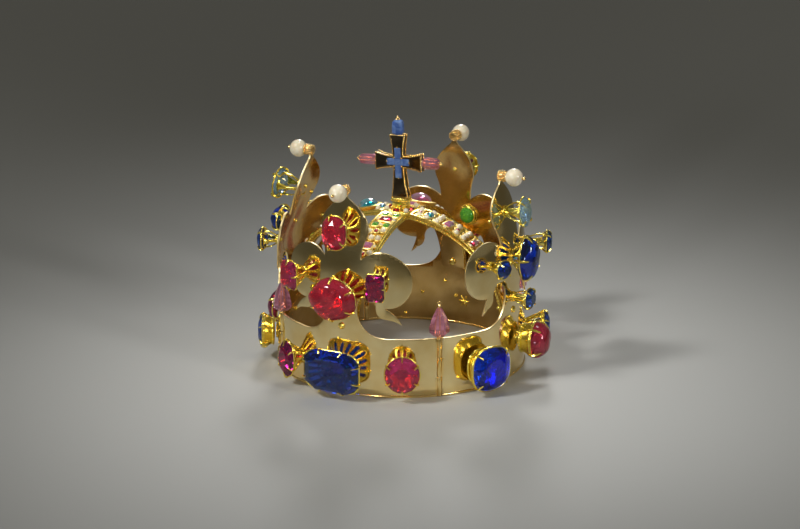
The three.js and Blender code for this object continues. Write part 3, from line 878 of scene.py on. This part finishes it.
for side, (bearing, lean, *_) in SIDES.items():
    tip = BAND_RADIUS - lean
    middle = tip + PEARL_STANDOFF
    pearl = ball(PEARL_RADIUS, segments=40)
    for vertex in pearl.data.vertices:
        vertex.co *= 1 + 0.03 * noise.noise(vertex.co / PEARL_RADIUS + Vector((bearing, 2, 5)))
    pearl.data.transform(facing_out(bearing, middle, PEARL_HEIGHT))
    finish_piece(
        pearl, f"lily_pearl_{side}", pearl_lustre, stands_for=f"pearl_{side}", smooth=60
    )
    back = PEARL_STANDOFF - 0.75 * PEARL_RADIUS
    mount = joined(
        [
            rod(3.4 * mm, -2.4 * mm, back, vertices=24),
            rod(0.7 * mm, 0, PEARL_STANDOFF + PEARL_RADIUS + 1 * mm),
            ball(1.35 * mm, (0, 0, PEARL_STANDOFF + PEARL_RADIUS + 1.4 * mm)),
            *[beaded_ring(3.5 * mm, 0.85 * mm, z * mm) for z in (-1.6, 0.2, 2.0, 3.8)],
        ]
    )
    mount.data.transform(facing_out(bearing, tip, PEARL_HEIGHT))
    finish_piece(mount, f"pearl_mount_{side}", wire_gold, smooth=50)


# The hinge pins: gold wire dropped through the barrels. Each has a collar that stops it on the
# topmost barrel and carries a long faceted pink spinel, held by a ball and a small eye.
DROP_RADIUS = 7.7 * mm
DROP_HEIGHT = 21.5 * mm
DROP_FOOT = BAND_HEIGHT + 1.8 * mm
PIN_RADIUS = 0.7 * mm
drop_cut = round_cut(
    [
        (6, 0.58, 0, 20),
        (6, 0.96, 0.12, 20),
        (6, 1.0, 0.28, 20),
        (6, 0.76, 0.60, 20),
        (6, 0.24, 1.0, 20),
    ]
)
drop_cut.data.transform(stretched(DROP_RADIUS, DROP_RADIUS, DROP_HEIGHT))
for name, bearing in HINGE_BODIES.items():
    upright = turned(bearing) @ moved(0, -HINGE_RADIUS, 0)
    top = DROP_FOOT + DROP_HEIGHT
    eye_place = moved(0, 0, top + 3.6 * mm) @ turned(90, "X")
    pin = joined(
        [
            rod(PIN_RADIUS, 1 * mm, top + 1.6 * mm),
            rod(1.8 * mm, BAND_HEIGHT + 0.3 * mm, BAND_HEIGHT + 1.3 * mm, vertices=20),
            ball(1.45 * mm, (0, 0, top + 1.5 * mm)),
            placed(ring_of_wire(1.2 * mm, 0.4 * mm, segments=20), eye_place),
        ]
    )
    pin.data.transform(upright)
    finish_piece(
        pin, f"lift_out_pin_{name}", wire_gold, f"pin_{name}",
        stands_for=f"hinge_pin_{name}", smooth=50,
    )
    drop = copy_of(drop_cut, upright @ moved(0, 0, DROP_FOOT))
    finish_piece(
        drop, f"spinel_drop_{name}", rose_spinel, f"pin_{name}",
        stands_for=f"pin_drop_{name}", smooth=None,
    )
bpy.data.objects.remove(drop_cut)


# The arches: four arms of a gold strap with a raised rail along each edge, bent over a former from
# behind each lily's waist up to the crossing. Between the rails lies a bed crowded with pearls and
# small stones, each in its own little cup.
ARCH_WIDTH = 20 * mm
ARCH_DEPTH = 4.5 * mm
ARCH_RAIL = 1.7 * mm
ARCH_BED = 1.2 * mm
ARCH_REACH = BAND_RADIUS - SHEET - 0.8 * mm
ARCH_SPRING = 44 * mm
ARCH_RISE = 75.5 * mm
ARCH_FOOT = 48.5 * mm
CROSSING_HALF = 11.1 * mm
ARCH_STEPS = 400
ARCH_BENDS = 44
arch_gold = gold_finish("arch_gold", (1.0, 0.84, 0.24), (1.0, 0.73, 0.13), 0.2, 0.04)
bed_gold = gold_finish("bed_gold", (1.0, 0.82, 0.30), (0.98, 0.66, 0.16), 0.3, 0.5)

foot_angle = math.asin((ARCH_FOOT - ARCH_SPRING) / ARCH_RISE)
top_angle = math.acos((CROSSING_HALF + 0.3 * mm) / ARCH_REACH)
arch_line = [(0, foot_angle)]
for i in range(1, ARCH_STEPS + 1):
    angle = foot_angle + (top_angle - foot_angle) * i / ARCH_STEPS
    middle = angle - (top_angle - foot_angle) / ARCH_STEPS / 2
    speed = math.hypot(ARCH_REACH * math.sin(middle), ARCH_RISE * math.cos(middle))
    stride = speed * (top_angle - foot_angle) / ARCH_STEPS
    arch_line.append((arch_line[-1][0] + stride, angle))
ARCH_LENGTH = arch_line[-1][0]


def bend_over_arch(piece):
    """Bends a flat strap, or what stands on it, over the front arch: its X becomes the way up from
    the foot, its Y the way across and its Z the height above the strap's outer face."""
    for vertex in piece.data.vertices:
        along, across, height = vertex.co
        step = min(max(bisect(arch_line, (along,)), 1), ARCH_STEPS)
        (low, low_angle), (high, high_angle) = arch_line[step - 1], arch_line[step]
        angle = low_angle + (high_angle - low_angle) * (along - low) / (high - low)
        outward = Vector((ARCH_RISE * math.cos(angle), ARCH_REACH * math.sin(angle))).normalized()
        reach = ARCH_REACH * math.cos(angle) + outward.x * height
        vertex.co = (across, -reach, ARCH_SPRING + ARCH_RISE * math.sin(angle) + outward.y * height)


def flat_strap():
    strap = box((ARCH_LENGTH, ARCH_WIDTH, ARCH_DEPTH), (ARCH_LENGTH / 2, 0, -ARCH_DEPTH / 2))
    for direction, margin, sink in (
        ((0, 0, 1), ARCH_RAIL, ARCH_BED),
        ((0, 1, 0), 1.1 * mm, 0.45 * mm),
        ((0, -1, 0), 1.1 * mm, 0.45 * mm),
    ):
        facing = [face for face in strap.data.polygons if face.normal.dot(Vector(direction)) > 0.9]
        widest = max(facing, key=lambda face: face.area).index
        edit_faces(strap, lambda face: face.index == widest)
        bpy.ops.mesh.inset(thickness=margin)
        inward = [-part * sink for part in direction]
        bpy.ops.mesh.extrude_region_move(TRANSFORM_OT_translate={"value": inward})
        bpy.ops.object.mode_set(mode="OBJECT")
    edit(strap)
    for i in range(1, ARCH_BENDS):
        bpy.ops.mesh.select_all(action="SELECT")
        bpy.ops.mesh.bisect(plane_co=(ARCH_LENGTH * i / ARCH_BENDS, 0, 0), plane_no=(1, 0, 0))
    bpy.ops.object.mode_set(mode="OBJECT")
    round_edges(strap, 0.22 * mm, angle=50)
    # Faces under the strap take the darker gold, painted shade beneath the arch.
    strap.data.materials.append(arch_gold)
    strap.data.materials.append(inner_gold_painted_shade)
    for face in strap.data.polygons:
        face.material_index = int(face.normal.z < -0.9)
    return strap


def small_bezel(along, across, half_long, half_wide, square):
    """A little cup on the bed, open to the stone: a rolled ring stretched to the stone's outline."""
    ring = ring_of_wire(1 * mm, 0.32 * mm)
    for vertex in ring.data.vertices:
        x, y, z = vertex.co
        spread = outline_stretch(x, y, square)
        vertex.co.x = x * (half_long + 0.2) * spread + along
        vertex.co.y = y * (half_wide + 0.2) * spread + across
        vertex.co.z = z * 2.2 - ARCH_BED + 0.75 * mm
    return ring


def small_gem(cut, along, across, half_long, half_wide, rise):
    gem = copy_of(cut, stretched(half_long * mm, half_wide * mm, rise * mm))
    return placed(gem, moved(along, across, -ARCH_BED + 0.7 * mm))


small_table = step_cut(0.22, [(0.55, 1), (0.8, 0.7), (1, 0.1), (0.9, -0.4)])
bpy.ops.mesh.primitive_uv_sphere_add(segments=14, ring_count=8, radius=1)
small_dome = bpy.context.object
emerald = gem_finish("emerald", (0.26, 0.92, 0.10), (0.06, 0.62, 0.06), 0.7)
lilac = gem_finish("lilac_spinel", (0.90, 0.36, 0.58), (0.66, 0.16, 0.36), 0.6, 0.05, 1.6)
sea_blue = gem_finish("sea_blue", (0.02, 0.48, 0.50), (0.0, 0.20, 0.42), 0.7)
SMALL_STONES = {
    # kind: shape, half its length along the arch, half its width, rise, squareness, finish, slot
    "emerald": (small_table, 2.5, 2.6, 1.9, 5, emerald, "emerald"),
    "bar": (small_table, 2.8, 5.6, 2.2, 5, GEMS["red_spinel"], "red_spinel"),
    "sea": (small_dome, 3.3, 4.2, 3.0, 2, sea_blue, "emerald"),
    "rose": (small_table, 3.0, 4.6, 2.4, 5, lilac, "pink_spinel"),
    "garnet": (small_dome, 2.0, 2.0, 1.9, 2, GEMS["red_spinel"], "red_spinel"),
    "blue": (small_dome, 2.0, 2.0, 1.7, 2, GEMS["royal_sapphire"], "royal_sapphire"),
    "pearl": (small_dome, 2.35, 2.35, 2.9, 2, pearl_lustre, "pearl"),
    "seed": (small_dome, 1.3, 1.3, 1.6, 2, pearl_lustre, "pearl"),
}
ROWS = {
    # what lies side by side in each row, and where its stones stand across the bed, in mm
    "emeralds": [("emerald", -4.6), ("emerald", 4.6), ("seed", 0)],
    "bar": [("bar", 0), ("seed", -6.8), ("seed", 6.8)],
    "pearls": [("pearl", -5.3), ("pearl", 5.3), ("garnet", 0)],
    "pearl_trio": [("pearl", -5.6), ("pearl", 0), ("pearl", 5.6)],
    "sea": [("sea", 0), ("pearl", -6), ("pearl", 6)],
    "rose": [("rose", 0), ("seed", -6.4), ("seed", 6.4)],
    "blues": [("blue", -5), ("pearl", 0), ("blue", 5)],
}
ARM_ROWS = {
    # from the crossing down to the foot
    "front": "emeralds bar emeralds pearls pearl_trio rose pearls emeralds bar pearls blues pearls rose",
    "right": "pearls sea pearl_trio rose pearls pearl_trio bar pearls emeralds sea pearls rose pearls",
    "back": "rose pearls emeralds bar pearls sea pearl_trio emeralds rose pearls blues pearls bar",
    "left": "sea pearls emeralds rose pearl_trio bar pearls blues emeralds pearls rose pearls sea",
}
ROW_PITCH = 8.3 * mm
GREAT_STONES = {
    # arm: how far out from the crown's middle, half its length, half its width, rise, finish, slot
    "back": (31, 6.4, 9.8, 7.4, lilac, "pink_spinel"),
    "left": (28, 8.4, 6.6, 6.4, sea_blue, "emerald"),
}


def along_at(reach):
    """How far up the arch it is a given distance out from the crown's middle."""
    return min(arch_line, key=lambda place: abs(ARCH_REACH * math.cos(place[1]) - reach))[0]


STRAP = flat_strap()
bend_over_arch(STRAP)
for side, (bearing, *_) in SIDES.items():
    turn = turned(bearing)
    strap = copy_of(STRAP, turn)
    finish_piece(strap, f"arch_strap_{side}", arch_gold, stands_for=f"arch_{side}")
    by_finish = {}
    cups = []
    great_along = None
    if side in GREAT_STONES:
        reach, long, wide, rise, finish, slot = GREAT_STONES[side]
        great_along = along_at(reach * mm)
        great = small_gem(small_dome, great_along, 0, long, wide, rise)
        by_finish[finish.name] = (finish, slot, [placed(great, moved(0, 0, 1.5 * mm))])
        for height, spread in ((0.2, 0.9), (1.2, 1.0), (2.2, 1.02)):
            collar = small_bezel(great_along, 0, long * spread, wide * spread, 2)
            cups.append(placed(collar, moved(0, 0, height * mm)))
    for i, row in enumerate(ARM_ROWS[side].split()):
        along = ARCH_LENGTH - (i + 0.62) * ROW_PITCH
        if great_along and abs(along - great_along) < 10 * mm:
            continue
        for kind, across in ROWS[row]:
            shape, long, wide, rise, square, finish, slot = SMALL_STONES[kind]
            stagger = 1.5 * mm if across and row in ("pearls", "blues") else 0
            at = (along + (stagger if across > 0 else -stagger), across * mm)
            gem = small_gem(shape, *at, long, wide, rise)
            by_finish.setdefault(finish.name, (finish, slot, []))[2].append(gem)
            cups.append(small_bezel(*at, long, wide, square))
        for across in (-7.3, -2.6, 2.6, 7.3):
            cups.append(ball(0.75 * mm, (along - ROW_PITCH / 2, across * mm, -ARCH_BED + 0.3 * mm), 8))
    for finish_name, (finish, slot, gems) in by_finish.items():
        cluster = joined(gems)
        bend_over_arch(cluster)
        cluster.data.transform(turn)
        rounded = 50 if slot == "pearl" else 25
        finish_piece(cluster, f"arch_{finish_name}_{side}", finish, smooth=rounded)
    cup_work = joined(cups)
    bend_over_arch(cup_work)
    cup_work.data.transform(turn)
    finish_piece(cup_work, f"arch_cups_{side}", bed_gold, smooth=50)
bpy.data.objects.remove(STRAP)


# A round emerald set on the inner face of the back lily, low on its petal, in a ring of gold beads.
EMERALD_BEARING = 173
EMERALD_HEIGHT = 92 * mm
EMERALD_RADIUS = 6.5 * mm
EMERALD_RISE = 4.5 * mm
inner_face = wall_radius(EMERALD_HEIGHT, SIDES["back"][1]) - SHEET
inward = facing_out(EMERALD_BEARING + 180, -inner_face, EMERALD_HEIGHT)
gem = copy_of(small_dome, stretched(EMERALD_RADIUS, EMERALD_RADIUS, EMERALD_RISE))
gem.data.transform(inward @ moved(0, 0, 2.2 * mm))
finish_piece(gem, "inner_emerald", emerald, smooth=60)
seat = joined(
    [
        ring_of_wire(EMERALD_RADIUS, 0.9 * mm, 2.0 * mm),
        rod(EMERALD_RADIUS * 0.9, -0.2 * mm, 1.8 * mm, vertices=28),
        beaded_ring(EMERALD_RADIUS + 1.2 * mm, 0.7 * mm, 0.7 * mm),
    ]
)
seat.data.transform(inward)
finish_piece(seat, "inner_emerald_seat", setting_gold, smooth=50)


# A star of six short wires soldered on the inner face of the back band, over an old rivet.
STAR_BEARING = 175.5
STAR_HEIGHT = 19.7 * mm
STAR_REACH = 4.6 * mm
STAR_WIRE = 0.55 * mm
STAR_KNOB = 1.3 * mm
star_parts = [ball(STAR_KNOB)]
for i in range(6):
    ray = rod(STAR_WIRE, 0, STAR_REACH, vertices=8)
    star_parts.append(placed(ray, turned(60 * i) @ turned(90, "Y")))
star_place = facing_out(STAR_BEARING, BAND_RADIUS - SHEET - 0.4 * mm, STAR_HEIGHT)
star = placed(joined(star_parts), star_place)
finish_piece(star, "inner_star", setting_gold, smooth=50)


# The waist rivets: one holds each arch's foot to its plate, domed outside and spread inside.
RIVET_HEIGHT = 53 * mm
RIVET_SHANK = 1.5 * mm
OUTER_HEAD = 2.6 * mm
INNER_HEAD = 2.8 * mm
for side, (bearing, *_) in SIDES.items():
    inner_face = ARCH_REACH - ARCH_DEPTH - 1.8 * mm
    parts = [rod(RIVET_SHANK, inner_face - 1 * mm, BAND_RADIUS + 1 * mm)]
    for radius, out in ((OUTER_HEAD, BAND_RADIUS + 0.3 * mm), (INNER_HEAD, inner_face)):
        parts.append(placed(ball(radius, segments=18), moved(0, 0, out) @ stretched(1, 1, 0.5)))
    rivet = joined(parts)
    rivet.data.transform(facing_out(bearing, 0, RIVET_HEIGHT))
    finish_piece(
        rivet, f"waist_rivet_{side}", arch_gold, stands_for=f"arch_rivet_{side}", smooth=50
    )


# The crossing: a square box where the four arms meet, edged with beaded wire, with a pedestal on
# it that the cross plugs into and pearls and small stones round the pedestal.
CROSSING_TOP = 119 * mm
CROSSING_THICK = 4.7 * mm
PEDESTAL = (13 * mm, 10 * mm)
PEDESTAL_TOP = 128 * mm


def row_of_beads(start, end, bead):
    """Beads of drawn wire from one point to another, touching each other."""
    start, end = Vector(start), Vector(end)
    count = max(round((end - start).length / (1.8 * bead)), 1)
    grain = ball(bead, segments=8)
    row = [copy_of(grain, moved(*start.lerp(end, (i + 0.5) / count))) for i in range(count)]
    bpy.data.objects.remove(grain)
    return joined(row)


def beaded_square(half_x, half_y, height, bead):
    corners = [(half_x, half_y), (-half_x, half_y), (-half_x, -half_y), (half_x, -half_y)]
    return [
        row_of_beads((*corners[i - 1], height), (*corners[i], height), bead) for i in range(4)
    ]


crossing = joined(
    [
        soft_box(
            (2 * CROSSING_HALF, 2 * CROSSING_HALF, CROSSING_THICK),
            (0, 0, CROSSING_TOP - CROSSING_THICK / 2),
            0.5 * mm,
        ),
        soft_box(
            (PEDESTAL[0] - 1.6 * mm, PEDESTAL[1] - 1.6 * mm, PEDESTAL_TOP - CROSSING_TOP + 1 * mm),
            (0, 0, (PEDESTAL_TOP + CROSSING_TOP) / 2 - 0.5 * mm),
            0.4 * mm,
        ),
        soft_box(
            (PEDESTAL[0], PEDESTAL[1], 1.6 * mm), (0, 0, PEDESTAL_TOP - 0.8 * mm), 0.4 * mm
        ),
        *beaded_square(CROSSING_HALF - 0.7 * mm, CROSSING_HALF - 0.7 * mm, CROSSING_TOP, 0.6 * mm),
        *beaded_square(PEDESTAL[0] / 2, PEDESTAL[1] / 2, CROSSING_TOP + 1.2 * mm, 0.7 * mm),
        *beaded_square(PEDESTAL[0] / 2, PEDESTAL[1] / 2, PEDESTAL_TOP - 2.2 * mm, 0.5 * mm),
    ]
)
finish_piece(crossing, "crossing_box", arch_gold, stands_for="crossing_plate", smooth=45)
corner = CROSSING_HALF - 2.9 * mm
corner_pearls = [
    ball(2.0 * mm, (x * corner, y * corner, CROSSING_TOP + 1.3 * mm), 18) for x in (-1, 1) for y in (-1, 1)
]
finish_piece(joined(corner_pearls), "crossing_pearls", pearl_lustre, smooth=60)
CROSSING_GEMS = {"front": "red_spinel", "right": "pink_spinel", "back": "red_spinel", "left": "pink_spinel"}
for side, colour in CROSSING_GEMS.items():
    gem = copy_of(small_table, stretched(2.3 * mm, 1.7 * mm, 1.6 * mm))
    out = 8.2 * mm if side in ("front", "back") else 8.6 * mm
    gem.data.transform(turned(SIDES[side][0]) @ moved(0, -out, CROSSING_TOP + 0.4 * mm))
    finish_piece(gem, f"crossing_gem_{side}", GEMS[colour], smooth=None)


# The cross: gold arms that narrow to the middle, painted near black as a painted reflection of
# dark surroundings, edged with twisted wire, with a cut sapphire cross let into the front and a
# bead on a wire at the end of three arms.
CROSS_FOOT = 128.66 * mm
CROSS_TOP = 176.5 * mm
CROSS_ARM = 156 * mm
CROSS_HALF = 19.2 * mm
CROSS_THICK = 5.6 * mm
# Painted reflection: the gold is painted near black for the dark surroundings the polished arms would
# mirror.
cross_gold = gold_finish("cross_gold", (0.27, 0.21, 0.14), (0.12, 0.085, 0.05), 0.08, 0.1)
cameo_blue = gem_finish("cameo_blue", (0.34, 0.54, 0.98), (0.04, 0.12, 0.50), 0.55, 0.03)
askew = moved(0, 0, CROSS_FOOT) @ turned(-3, "Y") @ moved(0, 0, -CROSS_FOOT)


def cross_corners():
    """The cross's outline in millimetres in front view, as corners, each after the control point
    of the curve that leads to it."""
    top, half, arm, foot = CROSS_TOP / mm, CROSS_HALF / mm, CROSS_ARM / mm, CROSS_FOOT / mm
    return mirrored(
        [
            (None, (6.6, foot)),
            ((4, arm - 16), (4, arm - 4)),
            ((half - 7, arm - 4), (half, arm - 6.4)),
            (None, (half, arm + 6.4)),
            ((half - 7, arm + 4), (4, arm + 4)),
            ((4, top - 7), (6.2, top)),
        ]
    )


def along_curves(corners, pitch):
    """Points at even steps along an outline of straight and curved stretches."""
    fine = []
    for i, (control, here) in enumerate(corners):
        before, after = Vector(corners[i - 1][1]), Vector(here)
        pull = (before + after) / 2 if control is None else Vector(control)
        for k in range(60):
            t = k / 60
            fine.append(before * (1 - t) ** 2 + pull * 2 * t * (1 - t) + after * t * t)
    points, travelled = [fine[0]], 0
    for a, b in zip(fine, fine[1:] + fine[:1]):
        travelled += (b - a).length
        if travelled >= pitch:
            points.append(b)
            travelled = 0
    return points


CROSS_SOFTNESS = 0.3 * mm
corners = cross_corners()
drawn = drawn_outline(corners)
drawn.data.extrude = CROSS_THICK / 2 - CROSS_SOFTNESS
drawn.data.bevel_depth = CROSS_SOFTNESS
drawn.data.bevel_resolution = 2
drawn.data.offset = -CROSS_SOFTNESS
cross_plate = cut_out(drawn)
cross_plate.data.transform(askew)
edit(cross_plate)
bpy.ops.mesh.remove_doubles(threshold=0.01 * mm)
bpy.ops.mesh.normals_make_consistent(inside=False)
bpy.ops.object.mode_set(mode="OBJECT")
finish_piece(cross_plate, "cross_arms", cross_gold, stands_for="cross_body", smooth=50)

strands = []
strand = ball(0.62 * mm, segments=8)
strand.data.transform(turned(35, "Y") @ stretched(1, 1, 1.7))
for face in (-1, 1):
    for x, z in along_curves(corners, 1.05):
        at = (x * mm, face * (CROSS_THICK / 2 - 0.5 * mm), z * mm)
        strands.append(copy_of(strand, moved(*at)))
bpy.data.objects.remove(strand)
edging = joined(strands)
edging.data.transform(askew)
finish_piece(edging, "cross_twisted_edging", wire_gold, smooth=60)

INLAY_ARM = 2.7 * mm
INLAY_FACE = -CROSS_THICK / 2 + 0.5 * mm
inlay_parts = []
for x, z, reach in ((-1, 0, 9.5), (1, 0, 9.5), (0, 1, 11), (0, -1, 12.5)):
    long = reach * mm - INLAY_ARM * 0.9
    size = (long, 2.4 * mm, 2 * INLAY_ARM) if x else (2 * INLAY_ARM, 2.4 * mm, long)
    middle = INLAY_ARM * 0.9 + long / 2
    inlay_parts.append(soft_box(size, (x * middle, INLAY_FACE, CROSS_ARM + z * middle), 0.75 * mm))
centre = (2 * INLAY_ARM, 2.9 * mm, 2 * INLAY_ARM)
inlay_parts.append(soft_box(centre, (0, INLAY_FACE, CROSS_ARM), 0.9 * mm))
inlay = joined(inlay_parts)
inlay.data.transform(askew)
finish_piece(
    inlay, "cross_sapphire_inlay", cameo_blue, stands_for="cross_inlay", smooth=None
)

INNER_GRIPS = [(x, z, 0.5, 0.75) for x in (-3.2, 3.2) for z in (-3.2, 3.2)]
END_GRIPS = [(x, z, 0.3, 0.7) for x, z in ((-9.6, 0), (9.6, 0), (0, 11.1), (0, -12.6))]
grips = joined(
    [
        ball(radius * mm, (x * mm, -CROSS_THICK / 2 - out * mm, CROSS_ARM + z * mm), 10)
        for x, z, out, radius in INNER_GRIPS + END_GRIPS
    ]
)
grips.data.transform(askew)
finish_piece(grips, "cross_inlay_claws", wire_gold, smooth=60)

bead_cut = round_cut(
    [(6, 0.7, 0, 12), (6, 1.0, 0.14, 12), (6, 1.0, 0.55, 12), (6, 0.9, 0.86, 12), (6, 0.5, 1.0, 12)]
)
BEADS = [
    # name, length, radius, finish, slot, the place of its foot
    ("top", 11.5, 4.8, cameo_blue, "royal_sapphire", moved(0, 0, CROSS_TOP)),
    ("right", 14.5, 4.5, rose_spinel, "pink_spinel", moved(CROSS_HALF, 0, CROSS_ARM) @ turned(90, "Y")),
    ("left", 14.5, 4.5, rose_spinel, "pink_spinel", moved(-CROSS_HALF, 0, CROSS_ARM) @ turned(-90, "Y")),
]
for name, length, radius, finish, slot, place in BEADS:
    reach = length * mm
    bead = copy_of(bead_cut, stretched(radius * mm, radius * mm, reach))
    bead.data.transform(askew @ place @ moved(0, 0, 0.4 * mm))
    finish_piece(bead, f"cross_bead_{name}", finish, stands_for=f"cross_{name}_bead", smooth=None)
    wire = joined(
        [
            rod(0.7 * mm, -1 * mm, reach + 1 * mm),
            ball(1.3 * mm, (0, 0, reach + 1.6 * mm)),
            rod(2.2 * mm, -0.4 * mm, 0.5 * mm, vertices=20),
            beaded_ring(1.5 * mm, 0.5 * mm, reach + 0.6 * mm),
        ]
    )
    wire.data.transform(askew @ place)
    finish_piece(wire, f"cross_bead_wire_{name}", wire_gold, smooth=50)

for pattern in (bead_cut, small_table, small_dome):
    bpy.data.objects.remove(pattern)
